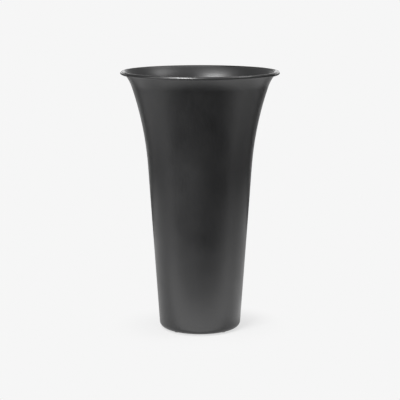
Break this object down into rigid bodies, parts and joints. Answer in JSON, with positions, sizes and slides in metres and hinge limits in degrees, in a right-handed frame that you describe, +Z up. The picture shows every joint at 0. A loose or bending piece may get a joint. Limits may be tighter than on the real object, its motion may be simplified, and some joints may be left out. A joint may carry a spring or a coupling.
{
  "type": "vase",
  "caption": "Tall flared vase of dark coated spun sheet metal: straight tapered body, trumpet mouth with an edge rolled over a wire, closed base pan on felt pads.",
  "frame": {"origin": "centre of the vase's footprint, on the surface that it stands on", "axes": "+Z up along the axis of revolution; X and Y are level, with two of the four felt pads on each side of each of them"},
  "size_m": [0.2304, 0.2304, 0.38],
  "materials": {
    "dark_coating": "satin",
    "steel_wire": "satin",
    "sealant": "matte",
    "felt": "matte"
  },
  "bodies": {
    "root": {"flared_wall": "dark_coating", "base_pan": "dark_coating", "rim_wire": "steel_wire", "seam_seal": "sealant", "felt_pad_1": "felt", "felt_pad_2": "felt", "felt_pad_3": "felt", "felt_pad_4": "felt"}
  },
  "joints": []
}
